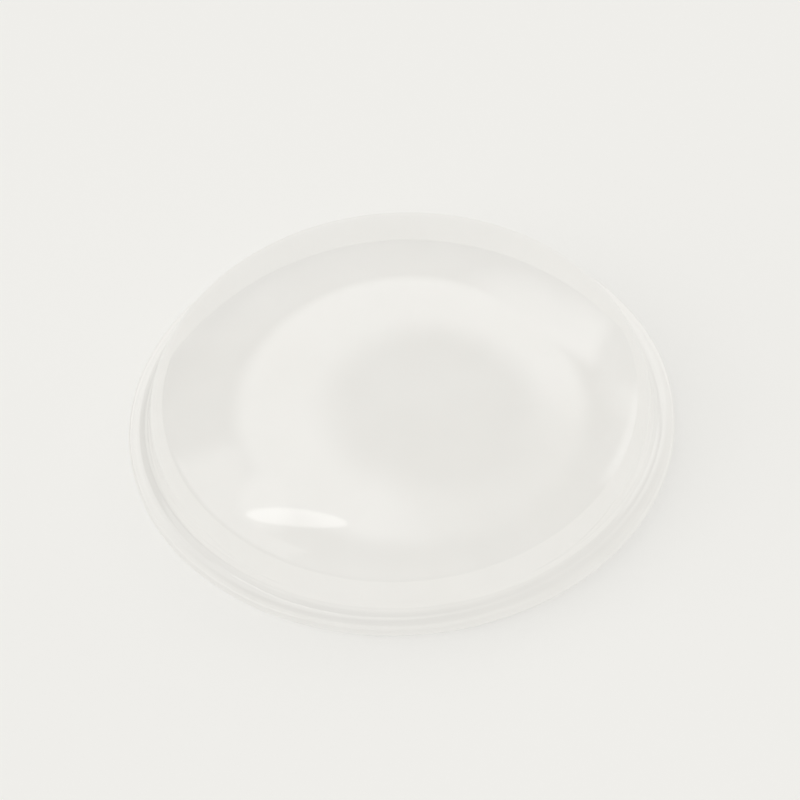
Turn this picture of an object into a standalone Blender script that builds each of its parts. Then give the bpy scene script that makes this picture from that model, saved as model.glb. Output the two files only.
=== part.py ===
"""Adhesive bumper foot: a clear moulded polyurethane dome on a disc of pressure-sensitive film.

The foot stands on its sticky face. The origin is the centre of that face, and +Z points up
through the crown of the dome. Lengths are in metres.
"""

import math

import bmesh
import bpy

MM = 0.001

# Driving dimensions
BODY_DIAMETER = 9.8 * MM  # upright wall, where it leaves the skirt
SKIRT_DIAMETER = 10.6 * MM  # thin skirt that the wall rises from
SKIRT_THICKNESS = 0.14 * MM
HEIGHT = 3.0 * MM  # from the sticky face to the crown
WALL_HEIGHT = 0.9 * MM  # upright wall, above the skirt
WALL_DRAFT_DEG = 4.0  # lets the foot out of its mould
SHOULDER_RADIUS = 0.9 * MM  # blends the wall into the dome
ROOT_RADIUS = 0.34 * MM  # hollow flare from the wall out to the skirt
SKIRT_EDGE_RADIUS = 0.05 * MM  # rounded upper edge of the skirt
FILM_THICKNESS = 0.12 * MM
FILM_SETBACK = 0.05 * MM  # the film is cut this much inside the skirt

# Fineness of the turned shapes
TURN_STEPS = 72
DOME_STEPS = 14
SHOULDER_STEPS = 6
ROOT_STEPS = 6
SKIRT_EDGE_STEPS = 3
SHARP_ANGLE = math.radians(40.0)


def clear_scene():
    for obj in list(bpy.data.objects):
        bpy.data.objects.remove(obj, do_unlink=True)


def principled(name, colour, roughness, transmission, ior):
    material = bpy.data.materials.new(name)
    material.use_nodes = True
    shader = material.node_tree.nodes["Principled BSDF"]
    shader.inputs["Base Color"].default_value = (*colour, 1.0)
    shader.inputs["Metallic"].default_value = 0.0
    shader.inputs["Roughness"].default_value = roughness
    shader.inputs["Transmission Weight"].default_value = transmission
    shader.inputs["IOR"].default_value = ior
    return material


def arc(centre, radius, start, end, steps):
    """Points (r, z) on an arc, from one angle to the other, both ends included."""
    cr, cz = centre
    points = []
    for i in range(steps + 1):
        angle = start + (end - start) * i / steps
        points.append((cr + radius * math.cos(angle), cz + radius * math.sin(angle)))
    return points


def shoulder_centre(wall_r, wall_z, slope, dome_z, dome_radius):
    """Centre of the arc that touches both the wall line and the dome from inside.

    The wall line passes through (wall_r, wall_z) and leans inwards by slope. The dome's own
    centre is on the axis at dome_z. The height of the arc's centre is found by bisection.
    """

    def centre_at(z):
        line_r = wall_r - (z - wall_z) * math.tan(slope)
        return line_r - SHOULDER_RADIUS / math.cos(slope)

    def miss(z):
        return math.hypot(centre_at(z), z - dome_z) - (dome_radius - SHOULDER_RADIUS)

    low, high = wall_z, wall_z + HEIGHT
    for _ in range(60):
        middle = (low + high) / 2
        if miss(middle) > 0:
            high = middle
        else:
            low = middle
    return centre_at(low), low


def body_profile():
    """Half section of the foot, from the crown down its outside to the middle of its base."""
    base_z = FILM_THICKNESS
    skirt_z = base_z + SKIRT_THICKNESS
    slope = math.radians(WALL_DRAFT_DEG)
    body_r = BODY_DIAMETER / 2
    skirt_r = SKIRT_DIAMETER / 2

    # The dome is the part of a sphere that passes through the crown and the top of the wall.
    rim_z = skirt_z + WALL_HEIGHT
    rim_r = body_r - WALL_HEIGHT * math.tan(slope)
    rise = HEIGHT - rim_z
    dome_radius = (rim_r**2 + rise**2) / (2 * rise)
    dome_z = HEIGHT - dome_radius

    blend_r, blend_z = shoulder_centre(body_r, skirt_z, slope, dome_z, dome_radius)
    dome_end = math.atan2(blend_z - dome_z, blend_r)

    points = arc((0.0, dome_z), dome_radius, math.pi / 2, dome_end, DOME_STEPS)
    points += arc((blend_r, blend_z), SHOULDER_RADIUS, dome_end, slope, SHOULDER_STEPS)[1:]

    # Hollow root between the wall and the skirt
    root_r = body_r - ROOT_RADIUS * math.tan(slope) + ROOT_RADIUS / math.cos(slope)
    points += arc(
        (root_r, skirt_z + ROOT_RADIUS), ROOT_RADIUS, math.pi + slope, 1.5 * math.pi, ROOT_STEPS
    )

    points += arc(
        (skirt_r - SKIRT_EDGE_RADIUS, skirt_z - SKIRT_EDGE_RADIUS),
        SKIRT_EDGE_RADIUS,
        math.pi / 2,
        0.0,
        SKIRT_EDGE_STEPS,
    )
    points.append((skirt_r, base_z))
    points.append((0.0, base_z))
    return points


def film_profile():
    film_r = SKIRT_DIAMETER / 2 - FILM_SETBACK
    return [(0.0, FILM_THICKNESS), (film_r, FILM_THICKNESS), (film_r, 0.0), (0.0, 0.0)]


def turned(name, profile, material):
    """A solid of revolution about Z, from a half section that starts and ends on the axis."""
    mesh = bpy.data.meshes.new(name)
    shape = bmesh.new()
    crown = shape.verts.new((0.0, 0.0, profile[0][1]))
    base = shape.verts.new((0.0, 0.0, profile[-1][1]))
    rings = []
    for r, z in profile[1:-1]:
        ring = []
        for i in range(TURN_STEPS):
            turn = 2 * math.pi * i / TURN_STEPS
            ring.append(shape.verts.new((r * math.cos(turn), r * math.sin(turn), z)))
        rings.append(ring)
    for i in range(TURN_STEPS):
        j = (i + 1) % TURN_STEPS
        shape.faces.new((crown, rings[0][i], rings[0][j]))
        for upper, lower in zip(rings, rings[1:]):
            shape.faces.new((upper[i], lower[i], lower[j], upper[j]))
        shape.faces.new((rings[-1][i], base, rings[-1][j]))
    bmesh.ops.recalc_face_normals(shape, faces=shape.faces)
    shape.to_mesh(mesh)
    shape.free()
    mesh.shade_smooth()
    mesh.set_sharp_from_angle(angle=SHARP_ANGLE)
    mesh.materials.append(material)
    obj = bpy.data.objects.new(name, mesh)
    bpy.context.scene.collection.objects.link(obj)
    return obj


clear_scene()
polyurethane = principled("clear_polyurethane", (0.86, 0.86, 0.84), 0.05, 1.0, 1.49)
adhesive = principled("clear_adhesive", (0.84, 0.84, 0.82), 0.35, 0.8, 1.47)
turned("bumper_body", body_profile(), polyurethane)
turned("adhesive_film", film_profile(), adhesive)
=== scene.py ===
"""Looks of the adhesive bumper foot: a clear cast polyurethane dome on its disc of clear adhesive.

The foot stands on its sticky face at the origin, with +Z up through the crown. Lengths are in
metres. Both pieces are turned about Z, so each is one Geometry Nodes tree that builds its half
section from named sizes and sweeps it round a circle.
"""

import math

import bmesh
import bpy
from mathutils import Matrix, Vector


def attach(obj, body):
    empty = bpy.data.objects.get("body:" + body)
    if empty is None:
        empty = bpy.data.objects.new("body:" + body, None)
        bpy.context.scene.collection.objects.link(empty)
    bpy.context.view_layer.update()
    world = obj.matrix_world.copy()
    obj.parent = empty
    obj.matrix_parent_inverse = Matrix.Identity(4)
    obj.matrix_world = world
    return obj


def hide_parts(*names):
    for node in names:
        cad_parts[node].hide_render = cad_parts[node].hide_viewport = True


MM = 0.001
MICRON = 0.001 * MM

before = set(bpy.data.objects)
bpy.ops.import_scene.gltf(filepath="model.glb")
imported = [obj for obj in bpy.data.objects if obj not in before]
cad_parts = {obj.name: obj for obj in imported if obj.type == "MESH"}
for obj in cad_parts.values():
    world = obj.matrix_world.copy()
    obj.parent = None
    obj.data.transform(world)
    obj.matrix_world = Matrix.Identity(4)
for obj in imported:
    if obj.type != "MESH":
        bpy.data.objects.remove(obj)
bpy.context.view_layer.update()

# Sizes of the moulding, the same as the solids'
BODY_RADIUS = 4.9 * MM
SKIRT_RADIUS = 5.3 * MM
SKIRT_THICKNESS = 0.14 * MM
HEIGHT = 3.0 * MM
WALL_HEIGHT = 0.9 * MM
WALL_DRAFT = math.radians(4.0)
SHOULDER_RADIUS = 0.9 * MM
ROOT_RADIUS = 0.34 * MM
SKIRT_EDGE_RADIUS = 0.05 * MM
FILM_THICKNESS = 0.12 * MM
FILM_RADIUS = 5.25 * MM

# The film's faces keep this far from the moulding above and the table below, so that no two
# faces share a plane.
FACE_GAP = 3 * MICRON

# The film's rim wanders from this radius outwards.
FILM_WANDER_START = 0.9 * FILM_RADIUS

# Fineness of the meshes: points on each arc of the half section, and steps round the foot
DOME_POINTS = 72
SHOULDER_POINTS = 28
ROOT_POINTS = 10
SKIRT_EDGE_POINTS = 7
FILM_EDGE_POINTS = 13
TURN_STEPS = 288
PART_SPACING = 1000.0  # more than the points of any one part, so that the parts keep their order
WELD_DISTANCE = 0.1 * MICRON
SHARP_ANGLE = math.radians(40.0)
UNDERSIDE_LIMIT = -0.9  # a face that points further down than this is the bonded underside

# Camera: the angle of the photograph, through a long lens
CAMERA_ELEVATION = math.radians(48.0)
CAMERA_ROLL = math.radians(-3.5)
CAMERA_DISTANCE = 460 * MM
FRAME_WIDTH = 15.5 * MM  # what the frame spans at the foot
CAMERA_AIM = Vector((0.0, 0.0, 1.0 * MM))
CAMERA_CLIP = (0.01, 10.0)
SENSOR_WIDTH = 36.0  # millimetres, as Blender counts it


def linear(hex_colour):
    """An sRGB hex colour as linear RGBA."""
    values = [int(hex_colour[i : i + 2], 16) / 255 for i in (1, 3, 5)]
    curved = [v / 12.92 if v <= 0.04045 else ((v + 0.055) / 1.055) ** 2.4 for v in values]
    return (*curved, 1.0)


def add(tree, kind, settings=None, inputs=None):
    """Adds a node with its settings. An input is a value, a socket to link, or a list of those."""
    node = tree.nodes.new(kind)
    for name, value in (settings or {}).items():
        setattr(node, name, value)
    for name, value in (inputs or {}).items():
        for one in value if isinstance(value, list) else [value]:
            if isinstance(one, bpy.types.NodeSocket):
                tree.links.new(one, node.inputs[name])
            else:
                node.inputs[name].default_value = one
    return node


# Materials
def new_material(name):
    """An empty material and its node tree."""
    material = bpy.data.materials.new(name)
    material.use_nodes = True
    material.node_tree.nodes.clear()
    return material, material.node_tree


def cast_polyurethane():
    """Clear polyurethane cast in a polished mould: glossy, almost water clear with a faint straw
    tint, and a skin that undulates very slightly, which softens what it reflects."""
    material, tree = new_material("cast_clear_polyurethane")
    place = add(tree, "ShaderNodeTexCoord").outputs["Object"]
    # Mould finish: undulation about 1.4 mm long, seen as a soft wander in the reflections
    undulation = add(
        tree,
        "ShaderNodeTexNoise",
        inputs={"Vector": place, "Scale": 1 / (1.4 * MM), "Detail": 2.0, "Roughness": 0.4},
    ).outputs["Fac"]
    # Handling haze: patches about 2.5 mm across
    haze = add(
        tree,
        "ShaderNodeTexNoise",
        inputs={"Vector": place, "Scale": 1 / (2.5 * MM), "Detail": 3.0, "Roughness": 0.55},
    ).outputs["Fac"]
    roughness = add(
        tree,
        "ShaderNodeMapRange",
        inputs={"Value": haze, "From Min": 0.3, "From Max": 0.7, "To Min": 0.03, "To Max": 0.07},
    ).outputs["Result"]
    tint = add(
        tree,
        "ShaderNodeMix",
        {"data_type": "RGBA"},
        {6: linear("#fefdfc"), 7: linear("#fcfbf9"), 0: haze},
    ).outputs[2]
    bump = add(
        tree,
        "ShaderNodeBump",
        inputs={"Height": undulation, "Strength": 0.12, "Distance": 20 * MICRON},
    ).outputs["Normal"]
    shader = add(
        tree,
        "ShaderNodeBsdfPrincipled",
        inputs={
            "Base Color": tint,
            "Roughness": roughness,
            "Normal": bump,
            "IOR": 1.49,
            "Transmission Weight": 1.0,
        },
    )
    add(tree, "ShaderNodeOutputMaterial", inputs={"Surface": shader.outputs["BSDF"]})
    return material


def bonded_polyurethane():
    """The underside, wetted by the adhesive: both have nearly the same index, so light crosses the
    bond without bending and the face itself can't be seen."""
    material, tree = new_material("bonded_clear_polyurethane")
    place = add(tree, "ShaderNodeTexCoord").outputs["Object"]
    wetting = add(
        tree,
        "ShaderNodeTexNoise",
        inputs={"Vector": place, "Scale": 1 / (2.0 * MM), "Detail": 2.0},
    ).outputs["Fac"]
    tint = add(
        tree,
        "ShaderNodeMix",
        {"data_type": "RGBA"},
        {6: linear("#ffffff"), 7: linear("#fdfcfa"), 0: wetting},
    ).outputs[2]
    shader = add(
        tree,
        "ShaderNodeBsdfPrincipled",
        inputs={"Base Color": tint, "Roughness": 0.0, "IOR": 1.0, "Transmission Weight": 1.0},
    )
    add(tree, "ShaderNodeOutputMaterial", inputs={"Surface": shader.outputs["BSDF"]})
    return material


def acrylic_adhesive():
    """Pressure-sensitive acrylic adhesive, coated and kiss-cut: clear, a little milky where it lies
    thicker, with a soft sheen on its cut edge."""
    material, tree = new_material("coated_acrylic_adhesive")
    place = add(tree, "ShaderNodeTexCoord").outputs["Object"]
    # Coating mottle: about 1.2 mm across
    mottle = add(
        tree,
        "ShaderNodeTexNoise",
        inputs={"Vector": place, "Scale": 1 / (1.2 * MM), "Detail": 4.0, "Roughness": 0.6},
    ).outputs["Fac"]
    tint = add(
        tree,
        "ShaderNodeMix",
        {"data_type": "RGBA"},
        {6: linear("#efeee9"), 7: linear("#f6f6f3"), 0: mottle},
    ).outputs[2]
    cover = add(
        tree,
        "ShaderNodeMapRange",
        inputs={"Value": mottle, "From Min": 0.3, "From Max": 0.7, "To Min": 0.01, "To Max": 0.03},
    ).outputs["Result"]
    sheen = add(
        tree,
        "ShaderNodeMapRange",
        inputs={"Value": mottle, "From Min": 0.3, "From Max": 0.7, "To Min": 0.3, "To Max": 0.42},
    ).outputs["Result"]
    shader = add(
        tree,
        "ShaderNodeBsdfPrincipled",
        inputs={"Base Color": tint, "Roughness": sheen, "IOR": 1.47, "Alpha": cover},
    )
    add(tree, "ShaderNodeOutputMaterial", inputs={"Surface": shader.outputs["BSDF"]})
    return material


# Turned pieces
def new_tree(name, sizes):
    """A Geometry Nodes tree with named inputs. sizes maps a name to its socket type and value."""
    tree = bpy.data.node_groups.new(name, "GeometryNodeTree")
    tree.interface.new_socket("Geometry", in_out="OUTPUT", socket_type="NodeSocketGeometry")
    values = {}
    for socket_name, (socket_type, value) in sizes.items():
        socket = tree.interface.new_socket(
            socket_name, in_out="INPUT", socket_type="NodeSocket" + socket_type
        )
        values[socket.identifier] = value
    return tree, add(tree, "NodeGroupInput").outputs, values


def section_arc(tree, centre, radius, start, sweep, points):
    """The points of an arc of the half section, X along the radius and Y along the height."""
    arc = add(
        tree,
        "GeometryNodeCurveArc",
        {"mode": "RADIUS"},
        {"Resolution": points, "Radius": radius, "Start Angle": start, "Sweep Angle": sweep},
    ).outputs["Curve"]
    placed = add(
        tree,
        "GeometryNodeTransform",
        inputs={"Geometry": arc, "Translation": centre},
    ).outputs["Geometry"]
    return add(
        tree, "GeometryNodeCurveToPoints", {"mode": "EVALUATED"}, {"Curve": placed}
    ).outputs["Points"]


def section_corner(tree, position):
    """One point of the half section, at a sharp corner or on the axis."""
    return add(
        tree, "GeometryNodePoints", inputs={"Count": 1, "Position": position}
    ).outputs["Points"]


def section_curve(tree, parts):
    """Joins arcs and corners, from the crown to the middle of the base, with straight lines."""
    ordered = []
    for number, part in enumerate(parts):
        index = add(tree, "GeometryNodeInputIndex").outputs["Index"]
        order = add(
            tree, "ShaderNodeMath", {"operation": "ADD"}, {0: index, 1: PART_SPACING * number}
        ).outputs["Value"]
        stored = add(
            tree,
            "GeometryNodeStoreNamedAttribute",
            {"data_type": "FLOAT", "domain": "POINT"},
            {"Geometry": part, "Name": "order", "Value": order},
        )
        ordered.append(stored.outputs["Geometry"])
    joined = add(tree, "GeometryNodeJoinGeometry", inputs={"Geometry": ordered}).outputs[0]
    weight = add(
        tree, "GeometryNodeInputNamedAttribute", {"data_type": "FLOAT"}, {"Name": "order"}
    ).outputs["Attribute"]
    return add(
        tree, "GeometryNodePointsToCurves", inputs={"Points": joined, "Weight": weight}
    ).outputs[0]


def swept(tree, section, path_radius, turn_steps):
    """Sweeps a half section round Z and welds the seam and the poles."""
    inward = add(
        tree, "ShaderNodeMath", {"operation": "MULTIPLY"}, {0: path_radius, 1: -1.0}
    ).outputs["Value"]
    shift = add(tree, "ShaderNodeCombineXYZ", inputs={"X": inward}).outputs["Vector"]
    # The sweep turns a section's Y axis downwards, so the section goes in upside down.
    moved = add(
        tree,
        "GeometryNodeTransform",
        inputs={"Geometry": section, "Translation": shift, "Scale": (1.0, -1.0, 1.0)},
    ).outputs["Geometry"]
    path = add(
        tree,
        "GeometryNodeCurvePrimitiveCircle",
        {"mode": "RADIUS"},
        {"Resolution": turn_steps, "Radius": path_radius},
    ).outputs["Curve"]
    shell = add(
        tree,
        "GeometryNodeCurveToMesh",
        inputs={"Curve": path, "Profile Curve": moved, "Fill Caps": False},
    ).outputs["Mesh"]
    return add(
        tree, "GeometryNodeMergeByDistance", inputs={"Geometry": shell, "Distance": WELD_DISTANCE}
    ).outputs["Geometry"]


def wandering_edge(tree, geometry, inner_radius, outer_radius, amount, seed):
    """Moves the rim in and out a little at random, as a cutting die leaves it."""
    place = add(tree, "GeometryNodeInputPosition").outputs["Position"]
    flat = add(
        tree, "ShaderNodeVectorMath", {"operation": "MULTIPLY"}, {0: place, 1: (1.0, 1.0, 0.0)}
    ).outputs["Vector"]
    reach = add(
        tree, "ShaderNodeVectorMath", {"operation": "LENGTH"}, {0: flat}
    ).outputs["Value"]
    outward = add(
        tree, "ShaderNodeVectorMath", {"operation": "NORMALIZE"}, {0: flat}
    ).outputs["Vector"]
    # The noise is read along the unit circle, so it closes on itself and is the same from top to
    # bottom of the edge.
    noise = add(
        tree,
        "ShaderNodeTexNoise",
        {"noise_dimensions": "4D"},
        {"Vector": outward, "W": seed, "Scale": 2.6, "Detail": 3.0, "Roughness": 0.55},
    ).outputs["Fac"]
    wander = add(
        tree,
        "ShaderNodeMapRange",
        inputs={"Value": noise, "From Min": 0.25, "From Max": 0.75, "To Min": -1.0, "To Max": 1.0},
    ).outputs["Result"]
    towards_rim = add(
        tree,
        "ShaderNodeMapRange",
        {"interpolation_type": "SMOOTHSTEP"},
        {"Value": reach, "From Min": inner_radius, "From Max": outer_radius},
    ).outputs["Result"]
    share = add(
        tree, "ShaderNodeMath", {"operation": "MULTIPLY"}, {0: wander, 1: towards_rim}
    ).outputs["Value"]
    distance = add(
        tree, "ShaderNodeMath", {"operation": "MULTIPLY"}, {0: share, 1: amount}
    ).outputs["Value"]
    offset = add(
        tree, "ShaderNodeVectorMath", {"operation": "SCALE"}, {0: outward, "Scale": distance}
    ).outputs["Vector"]
    return add(
        tree, "GeometryNodeSetPosition", inputs={"Geometry": geometry, "Offset": offset}
    ).outputs["Geometry"]


def foot_tree():
    """The moulding's tree and its input values. The dome is the part of a sphere that passes
    through the crown and the top of the wall."""
    slope = WALL_DRAFT
    skirt_z = FILM_THICKNESS + SKIRT_THICKNESS
    rim_z = skirt_z + WALL_HEIGHT
    rim_r = BODY_RADIUS - WALL_HEIGHT * math.tan(slope)
    rise = HEIGHT - rim_z
    dome_radius = (rim_r**2 + rise**2) / (2 * rise)
    dome_z = HEIGHT - dome_radius
    shoulder = shoulder_centre(dome_z, dome_radius, skirt_z)
    dome_end = math.atan2(shoulder[1] - dome_z, shoulder[0])
    root_r = BODY_RADIUS - ROOT_RADIUS * math.tan(slope) + ROOT_RADIUS / math.cos(slope)
    edge_r = SKIRT_RADIUS - SKIRT_EDGE_RADIUS
    sizes = {
        "Dome Radius": ("Float", dome_radius),
        "Dome Centre": ("Vector", (0.0, dome_z, 0.0)),
        "Dome Sweep": ("Float", dome_end - math.pi / 2),
        "Shoulder Radius": ("Float", SHOULDER_RADIUS),
        "Shoulder Centre": ("Vector", (shoulder[0], shoulder[1], 0.0)),
        "Shoulder Start": ("Float", dome_end),
        "Shoulder Sweep": ("Float", slope - dome_end),
        "Root Radius": ("Float", ROOT_RADIUS),
        "Root Centre": ("Vector", (root_r, skirt_z + ROOT_RADIUS, 0.0)),
        "Root Start": ("Float", math.pi + slope),
        "Root Sweep": ("Float", math.pi / 2 - slope),
        "Skirt Edge Radius": ("Float", SKIRT_EDGE_RADIUS),
        "Skirt Edge Centre": ("Vector", (edge_r, skirt_z - SKIRT_EDGE_RADIUS, 0.0)),
        "Skirt Foot": ("Vector", (SKIRT_RADIUS, FILM_THICKNESS, 0.0)),
        "Base Centre": ("Vector", (0.0, FILM_THICKNESS, 0.0)),
        "Body Radius": ("Float", BODY_RADIUS),
        "Skirt Radius": ("Float", SKIRT_RADIUS),
        "Cut Wander": ("Float", 14 * MICRON),
        "Turn Steps": ("Int", TURN_STEPS),
        "Seed": ("Float", 3.0),
        "Skin": ("Material", cast_polyurethane()),
        "Bonded Face": ("Material", bonded_polyurethane()),
    }
    tree, given, values = new_tree("turned_foot", sizes)
    parts = [
        section_arc(
            tree,
            given["Dome Centre"],
            given["Dome Radius"],
            math.pi / 2,
            given["Dome Sweep"],
            DOME_POINTS,
        ),
        section_arc(
            tree,
            given["Shoulder Centre"],
            given["Shoulder Radius"],
            given["Shoulder Start"],
            given["Shoulder Sweep"],
            SHOULDER_POINTS,
        ),
        section_arc(
            tree,
            given["Root Centre"],
            given["Root Radius"],
            given["Root Start"],
            given["Root Sweep"],
            ROOT_POINTS,
        ),
        section_arc(
            tree,
            given["Skirt Edge Centre"],
            given["Skirt Edge Radius"],
            math.pi / 2,
            -math.pi / 2,
            SKIRT_EDGE_POINTS,
        ),
        section_corner(tree, given["Skirt Foot"]),
        section_corner(tree, given["Base Centre"]),
    ]
    section = section_curve(tree, parts)
    shell = swept(tree, section, given["Body Radius"], given["Turn Steps"])
    cut = wandering_edge(
        tree, shell, given["Body Radius"], given["Skirt Radius"], given["Cut Wander"], given["Seed"]
    )
    facing = add(
        tree,
        "ShaderNodeSeparateXYZ",
        inputs={"Vector": add(tree, "GeometryNodeInputNormal").outputs["Normal"]},
    ).outputs["Z"]
    downwards = add(
        tree, "FunctionNodeCompare", {"operation": "LESS_THAN"}, {0: facing, 1: UNDERSIDE_LIMIT}
    ).outputs["Result"]
    whole = add(
        tree, "GeometryNodeRealizeInstances", inputs={"Geometry": cut}
    ).outputs["Geometry"]
    skinned = add(
        tree, "GeometryNodeSetMaterial", inputs={"Geometry": whole, "Material": given["Skin"]}
    ).outputs["Geometry"]
    bonded = add(
        tree,
        "GeometryNodeSetMaterial",
        inputs={"Geometry": skinned, "Selection": downwards, "Material": given["Bonded Face"]},
    ).outputs["Geometry"]
    add(tree, "NodeGroupOutput", inputs={"Geometry": bonded})
    return tree, values


def shoulder_centre(dome_z, dome_radius, skirt_z):
    """Centre of the arc that touches both the wall and the dome from inside, by bisection."""

    def centre_at(z):
        line_r = BODY_RADIUS - (z - skirt_z) * math.tan(WALL_DRAFT)
        return line_r - SHOULDER_RADIUS / math.cos(WALL_DRAFT)

    low, high = skirt_z, skirt_z + HEIGHT
    for _ in range(60):
        middle = (low + high) / 2
        reach = math.hypot(centre_at(middle), middle - dome_z)
        if reach > dome_radius - SHOULDER_RADIUS:
            high = middle
        else:
            low = middle
    return centre_at(low), low


def film_tree():
    """The adhesive film's tree and its input values. Soft adhesive creeps out a little between the
    two faces, so its edge is rounded."""
    top = FILM_THICKNESS - FACE_GAP
    bottom = 0.0
    half = (top - bottom) / 2
    sizes = {
        "Edge Radius": ("Float", half),
        "Edge Centre": ("Vector", (FILM_RADIUS - half, bottom + half, 0.0)),
        "Top Centre": ("Vector", (0.0, top, 0.0)),
        "Bottom Centre": ("Vector", (0.0, bottom, 0.0)),
        "Film Radius": ("Float", FILM_RADIUS),
        "Inner Radius": ("Float", FILM_WANDER_START),
        "Cut Wander": ("Float", 22 * MICRON),
        "Turn Steps": ("Int", TURN_STEPS),
        "Seed": ("Float", 11.0),
        "Film": ("Material", acrylic_adhesive()),
    }
    tree, given, values = new_tree("cut_film", sizes)
    parts = [
        section_corner(tree, given["Top Centre"]),
        section_arc(
            tree,
            given["Edge Centre"],
            given["Edge Radius"],
            math.pi / 2,
            -math.pi,
            FILM_EDGE_POINTS,
        ),
        section_corner(tree, given["Bottom Centre"]),
    ]
    section = section_curve(tree, parts)
    shell = swept(tree, section, given["Film Radius"], given["Turn Steps"])
    cut = wandering_edge(
        tree, shell, given["Inner Radius"], given["Film Radius"], given["Cut Wander"], given["Seed"]
    )
    whole = add(
        tree, "GeometryNodeRealizeInstances", inputs={"Geometry": cut}
    ).outputs["Geometry"]
    covered = add(
        tree, "GeometryNodeSetMaterial", inputs={"Geometry": whole, "Material": given["Film"]}
    ).outputs["Geometry"]
    add(tree, "NodeGroupOutput", inputs={"Geometry": covered})
    return tree, values


def made_by(name, tree, values):
    """An object with the plain mesh that the tree makes, faces outwards and sharp edges kept."""
    maker = bpy.data.objects.new(name + "_maker", bpy.data.meshes.new(name + "_maker"))
    bpy.context.scene.collection.objects.link(maker)
    modifier = maker.modifiers.new("turn", "NODES")
    modifier.node_group = tree
    for identifier, value in values.items():
        modifier[identifier] = value
    view_layer = bpy.context.view_layer
    view_layer.update()
    graph = bpy.context.evaluated_depsgraph_get()
    mesh = bpy.data.meshes.new_from_object(maker.evaluated_get(graph), depsgraph=graph)
    mesh.name = name
    bpy.data.objects.remove(maker)
    face_outwards(mesh)
    mesh.shade_smooth()
    mesh.set_sharp_from_angle(angle=SHARP_ANGLE)
    piece = bpy.data.objects.new(name, mesh)
    bpy.context.scene.collection.objects.link(piece)
    return piece


def face_outwards(mesh):
    """Turns every face of a closed shell outwards."""
    shape = bmesh.new()
    shape.from_mesh(mesh)
    bmesh.ops.recalc_face_normals(shape, faces=shape.faces)
    shape.to_mesh(mesh)
    shape.free()


foot = made_by("polyurethane_foot", *foot_tree())
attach(foot, "root")
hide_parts("bumper_body")

film = made_by("adhesive_disc", *film_tree())
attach(film, "root")
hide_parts("adhesive_film")


# Table, studio and camera
TABLE_COLOUR = "#f1f0ec"
TABLE_SIDE = 4.0
# Shares of the table's colour: what it sends by itself to the camera and to reflections, what it
# sends into the foot that stands on it, and what the light falling on it brings up.
TABLE_OWN_SHARE = 0.745
TABLE_SHARE_UNDER_FOOT = 0.975
TABLE_MATT_SHARE = 0.31
# Two faint darker crescents in what the table sends up through the foot, fitted. They
# stand in for the uneven light that the clear body throws on the table, which isn't traced. Each
# has its radius, half width at full depth and half width where it ends, depth, azimuth, half
# spread and where its fade ends, and the share of its depth that is left beyond.
FOOT_SHADES = [
    (4.82 * MM, 0.15 * MM, 0.34 * MM, 0.065, 190, 0, 180, 0.4),
    (4.0 * MM, 0.3 * MM, 0.65 * MM, 0.026, 108, 22, 55, 0.0),
]

# The sky is laid out flat: X and Y are degrees from the zenith to the right and to the back. An
# edge is a pair of limits, from where the light ends to where it is full.

# The screen lies between two circles.
SCREEN_HOLE = (9.0, 14.0, 0.0)
SCREEN_INNER_EDGE = (21.5, 36.0)
SCREEN_MIDDLE = (3.0, 18.5, 0.0)
SCREEN_OUTER_EDGE = (52.0, 45.0)
SCREEN_SPREAD = (137, 104, 180)  # azimuth of its middle, and where it starts and stops fading
SCREEN_LEAST = 0.25  # share of its light that is left where it has faded
SCREEN_LIGHT = 1.5
# The banner hangs from the screen, behind and right of the foot, and fades towards the table.
BANNER_LEFT = (4.0, 30.0)
BANNER_RIGHT = (54.0, 48.0)
BANNER_TOP = (40.0, 50.0)
BANNER_FADE = (98.0, 50.0)
ROOM_LIGHT = 0.1  # from the whole sky
BACKDROP_SHARE = 0.98  # of the table's colour, for the camera past the table's far edge
# A bright opening on the left
GLOW_CENTRE = (-42.0, -5.0, 0.0)
GLOW_EDGE = (17.0, 5.0)
GLOW_LIGHT = 1.7

# Cards: azimuth, half spread and where its fade ends, upper edge, lower edge, strength. The
# edges are in degrees from the zenith, each from where the card starts to where it is full.
CARDS = [
    (190, 27, 36, (40, 50), (86, 77), 0.95),
    (240, 20, 70, (20, 80), (86, 77), 0.35),
    (88, 33, 42, (56, 70), (98, 92), 0.4),
    (20, 6, 26, (60, 80), (98, 92), 1.5),
    (44, 12, 24, (64, 72), (98, 92), 0.5),
]

# The low light on the left that only matt surfaces see
SIDE_SPREAD = (180, 30, 45)  # azimuth, half spread and where its fade ends
SIDE_TOP = (45, 60)
SIDE_LIGHT = 1.5

# The strip softbox: angles in degrees, sizes in metres
KEY_AZIMUTH = 204
KEY_ELEVATION = 52.5
KEY_DISTANCE = 0.4
KEY_ROLL = 42
KEY_WIDTH = 0.235
KEY_HEIGHT = 0.036
KEY_RADIANCE = 2.35


def direction(azimuth, elevation):
    """Unit vector, from degrees. Azimuth 0 is +X and 90 is +Y, away from the camera."""
    turn, lift = math.radians(azimuth), math.radians(elevation)
    level = math.cos(lift)
    return Vector((level * math.cos(turn), level * math.sin(turn), math.sin(lift)))


def soft_edge(tree, value, ends, full, least=0.0):
    """The soft edge of a light or a shade: the least share from where it ends outwards, and 1 from
    where it is full inwards."""
    rising = full > ends
    return add(
        tree,
        "ShaderNodeMapRange",
        {"interpolation_type": "SMOOTHSTEP"},
        {
            "Value": value,
            "From Min": min(ends, full),
            "From Max": max(ends, full),
            "To Min": least if rising else 1.0,
            "To Max": 1.0 if rising else least,
        },
    ).outputs["Result"]


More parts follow.
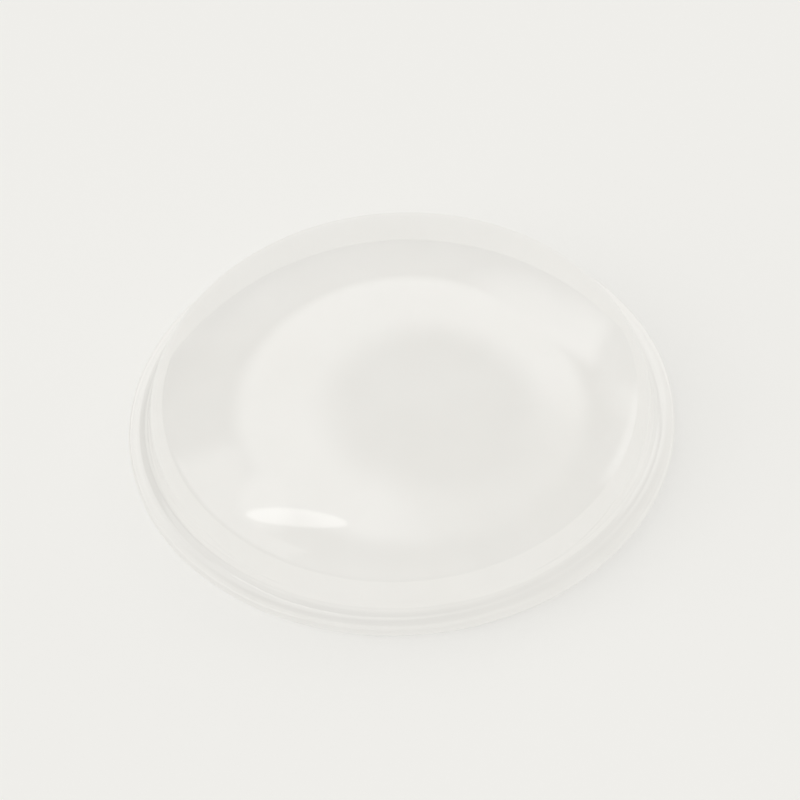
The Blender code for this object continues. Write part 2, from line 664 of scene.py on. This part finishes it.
def towards(tree, way, azimuth, inside, outside, least=0.0):
    """The spread of a light or a shade round the foot: 1 within one angle of its azimuth, and the
    least share beyond another."""
    likeness = add(
        tree,
        "ShaderNodeVectorMath",
        {"operation": "DOT_PRODUCT"},
        {0: way, 1: tuple(direction(azimuth, 0))},
    ).outputs["Value"]
    ends, full = math.cos(math.radians(outside)), math.cos(math.radians(inside))
    return soft_edge(tree, likeness, ends, full, least)


def together(tree, *shares):
    """What several shares leave when they act together."""
    left = shares[0]
    for share in shares[1:]:
        left = add(
            tree, "ShaderNodeMath", {"operation": "MULTIPLY"}, {0: left, 1: share}
        ).outputs["Value"]
    return left


def outshone(tree, light, shape, strength):
    """The light of the sky where another light of this shape and strength hangs in front of it."""
    return add(
        tree,
        "ShaderNodeMath",
        {"operation": "MAXIMUM"},
        {0: light, 1: together(tree, shape, strength)},
    ).outputs["Value"]


def light_under_foot(tree):
    """How brightly the table shines into the foot at each place below it, less in the crescents of
    painted shade.
    """
    place = add(tree, "ShaderNodeTexCoord").outputs["Object"]
    reach = add(tree, "ShaderNodeVectorMath", {"operation": "LENGTH"}, {0: place}).outputs["Value"]
    way = add(
        tree, "ShaderNodeVectorMath", {"operation": "NORMALIZE"}, {0: place}
    ).outputs["Vector"]
    share = TABLE_SHARE_UNDER_FOOT
    for radius, core, edge, depth, azimuth, inside, outside, least in FOOT_SHADES:
        beyond = add(
            tree, "ShaderNodeMath", {"operation": "SUBTRACT"}, {0: reach, 1: radius}
        ).outputs["Value"]
        off = add(tree, "ShaderNodeMath", {"operation": "ABSOLUTE"}, {0: beyond}).outputs["Value"]
        ring = soft_edge(tree, off, edge, core)
        side = towards(tree, way, azimuth, inside, outside, least)
        shade = together(tree, ring, side, depth)
        share = add(
            tree, "ShaderNodeMath", {"operation": "SUBTRACT"}, {0: share, 1: shade}
        ).outputs["Value"]
    return share


def table_top():
    """Plain pale table. Part of its tone is its own, for what the camera and gloss see, and the
    rest is a matt surface that takes the foot's soft shadow. What is seen through the foot has a
    tone of its own, because the light that the clear body throws on the table isn't traced."""
    material, tree = new_material("pale_table")
    rays = add(tree, "ShaderNodeLightPath").outputs
    direct = add(
        tree,
        "ShaderNodeMath",
        {"operation": "MAXIMUM"},
        {0: rays["Is Camera Ray"], 1: rays["Is Glossy Ray"]},
    ).outputs["Value"]
    own = add(
        tree,
        "ShaderNodeEmission",
        inputs={
            "Color": linear(TABLE_COLOUR),
            "Strength": together(tree, direct, TABLE_OWN_SHARE),
        },
    ).outputs["Emission"]
    matt_colour = tuple(c * TABLE_MATT_SHARE for c in linear(TABLE_COLOUR)[:3])
    matt = add(
        tree, "ShaderNodeBsdfDiffuse", inputs={"Color": (*matt_colour, 1.0)}
    ).outputs["BSDF"]
    open_table = add(tree, "ShaderNodeAddShader", inputs={0: own, 1: matt}).outputs["Shader"]
    under_foot = add(
        tree,
        "ShaderNodeEmission",
        inputs={"Color": linear(TABLE_COLOUR), "Strength": light_under_foot(tree)},
    ).outputs["Emission"]
    surface = add(
        tree,
        "ShaderNodeMixShader",
        inputs={0: rays["Is Transmission Ray"], 1: open_table, 2: under_foot},
    ).outputs["Shader"]
    add(tree, "ShaderNodeOutputMaterial", inputs={"Surface": surface})

    mesh = bpy.data.meshes.new("table")
    half = TABLE_SIDE / 2
    corners = [(-half, -half), (half, -half), (half, half), (-half, half)]
    mesh.from_pydata([(x, y, -FACE_GAP) for x, y in corners], [], [(0, 1, 2, 3)])
    mesh.materials.append(material)
    table = bpy.data.objects.new("table", mesh)
    bpy.context.scene.collection.objects.link(table)


def sky_light(tree):
    """The light of the room, seen from the foot: a dim sky with a white screen curved over the back
    and left, a banner that hangs from it at the back right, a bright opening on the left and pale
    cards lower down. Also gives the directions that it is laid out in."""
    look = add(tree, "ShaderNodeTexCoord").outputs["Generated"]
    height = add(tree, "ShaderNodeSeparateXYZ", inputs={"Vector": look}).outputs["Z"]
    zenith = add(
        tree, "ShaderNodeMath", {"operation": "ARCCOSINE"}, {0: height}
    ).outputs["Value"]
    zenith = add(tree, "ShaderNodeMath", {"operation": "DEGREES"}, {0: zenith}).outputs["Value"]
    level = add(
        tree, "ShaderNodeVectorMath", {"operation": "MULTIPLY"}, {0: look, 1: (1.0, 1.0, 0.0)}
    ).outputs["Vector"]
    way = add(
        tree, "ShaderNodeVectorMath", {"operation": "NORMALIZE"}, {0: level}
    ).outputs["Vector"]
    # The sky laid out flat, in degrees from the zenith
    chart = add(
        tree, "ShaderNodeVectorMath", {"operation": "SCALE"}, {0: way, "Scale": zenith}
    ).outputs["Vector"]
    from_hole, from_middle, from_glow = [
        add(
            tree, "ShaderNodeVectorMath", {"operation": "DISTANCE"}, {0: chart, 1: centre}
        ).outputs["Value"]
        for centre in (SCREEN_HOLE, SCREEN_MIDDLE, GLOW_CENTRE)
    ]
    off_hole = add(
        tree, "ShaderNodeVectorMath", {"operation": "SUBTRACT"}, {0: chart, 1: SCREEN_HOLE}
    ).outputs["Vector"]
    around = add(
        tree, "ShaderNodeVectorMath", {"operation": "NORMALIZE"}, {0: off_hole}
    ).outputs["Vector"]
    light = together(
        tree,
        soft_edge(tree, from_hole, *SCREEN_INNER_EDGE),
        soft_edge(tree, from_middle, *SCREEN_OUTER_EDGE),
        towards(tree, around, *SCREEN_SPREAD, SCREEN_LEAST),
        SCREEN_LIGHT,
    )
    for azimuth, inside, outside, top, bottom, strength in CARDS:
        card = together(
            tree,
            towards(tree, way, azimuth, inside, outside),
            soft_edge(tree, zenith, *top),
            soft_edge(tree, zenith, *bottom),
        )
        light = outshone(tree, light, card, strength)
    across, back = add(tree, "ShaderNodeSeparateXYZ", inputs={"Vector": chart}).outputs[:2]
    banner = together(
        tree,
        soft_edge(tree, across, *BANNER_LEFT),
        soft_edge(tree, across, *BANNER_RIGHT),
        soft_edge(tree, back, *BANNER_TOP),
        soft_edge(tree, back, *BANNER_FADE),
    )
    light = outshone(tree, light, banner, SCREEN_LIGHT)
    light = outshone(tree, light, soft_edge(tree, from_glow, *GLOW_EDGE), GLOW_LIGHT)
    light = add(
        tree, "ShaderNodeMath", {"operation": "ADD"}, {0: light, 1: ROOM_LIGHT}
    ).outputs["Value"]
    return light, way, zenith


def studio():
    """World: the room's light, with a low light from the left that only matt surfaces see, for the
    long soft shadow. The camera sees only the table's colour past the table."""
    world = bpy.data.worlds.new("studio")
    bpy.context.scene.world = world
    world.use_nodes = True
    tree = world.node_tree
    tree.nodes.clear()
    light, way, zenith = sky_light(tree)
    rays = add(tree, "ShaderNodeLightPath").outputs
    side = together(
        tree,
        towards(tree, way, *SIDE_SPREAD),
        soft_edge(tree, zenith, *SIDE_TOP),
        rays["Is Diffuse Ray"],
        SIDE_LIGHT,
    )
    lit = add(
        tree, "ShaderNodeMath", {"operation": "ADD"}, {0: light, 1: side}
    ).outputs["Value"]
    strength = add(
        tree,
        "ShaderNodeMix",
        {"data_type": "FLOAT"},
        {0: rays["Is Camera Ray"], 2: lit, 3: BACKDROP_SHARE},
    ).outputs[0]
    colour = add(
        tree,
        "ShaderNodeMix",
        {"data_type": "RGBA"},
        {0: rays["Is Camera Ray"], 6: linear("#ffffff"), 7: linear(TABLE_COLOUR)},
    ).outputs[2]
    background = add(
        tree, "ShaderNodeBackground", inputs={"Color": colour, "Strength": strength}
    ).outputs["Background"]
    add(tree, "ShaderNodeOutputWorld", inputs={"Surface": background})


def key_lamp():
    """A strip softbox above and to the left, a little in front. It gives the highlight and some of
    the shadow."""
    lamp_data = bpy.data.lights.new("key_softbox", "AREA")
    lamp_data.shape = "ELLIPSE"
    lamp_data.size = KEY_WIDTH
    lamp_data.size_y = KEY_HEIGHT
    # A lamp that shines evenly has a power of its radiance times its area times pi.
    area = math.pi / 4 * KEY_WIDTH * KEY_HEIGHT
    lamp_data.energy = KEY_RADIANCE * area * math.pi
    lamp = bpy.data.objects.new("key_softbox", lamp_data)
    bpy.context.scene.collection.objects.link(lamp)
    way = direction(KEY_AZIMUTH, KEY_ELEVATION)
    lamp.location = way * KEY_DISTANCE
    # It faces the foot, turned about the line between them.
    turn = way.to_track_quat("Z", "Y").to_matrix() @ Matrix.Rotation(math.radians(KEY_ROLL), 3, "Z")
    lamp.rotation_euler = turn.to_euler()
    lamp.visible_camera = False


def camera():
    """The photograph's viewpoint."""
    camera_data = bpy.data.cameras.new("camera")
    camera_data.sensor_width = SENSOR_WIDTH
    camera_data.lens = SENSOR_WIDTH * CAMERA_DISTANCE / FRAME_WIDTH
    camera_data.clip_start, camera_data.clip_end = CAMERA_CLIP
    viewer = bpy.data.objects.new("camera", camera_data)
    bpy.context.scene.collection.objects.link(viewer)
    back = Vector((0.0, -math.cos(CAMERA_ELEVATION), math.sin(CAMERA_ELEVATION)))
    turn = back.to_track_quat("Z", "Y").to_matrix().to_4x4()
    turn = turn @ Matrix.Rotation(CAMERA_ROLL, 4, "Z")
    viewer.matrix_world = Matrix.Translation(back * CAMERA_DISTANCE + CAMERA_AIM) @ turn
    bpy.context.scene.camera = viewer


table_top()
studio()
key_lamp()
camera()

bpy.context.scene.view_settings.view_transform = "Standard"
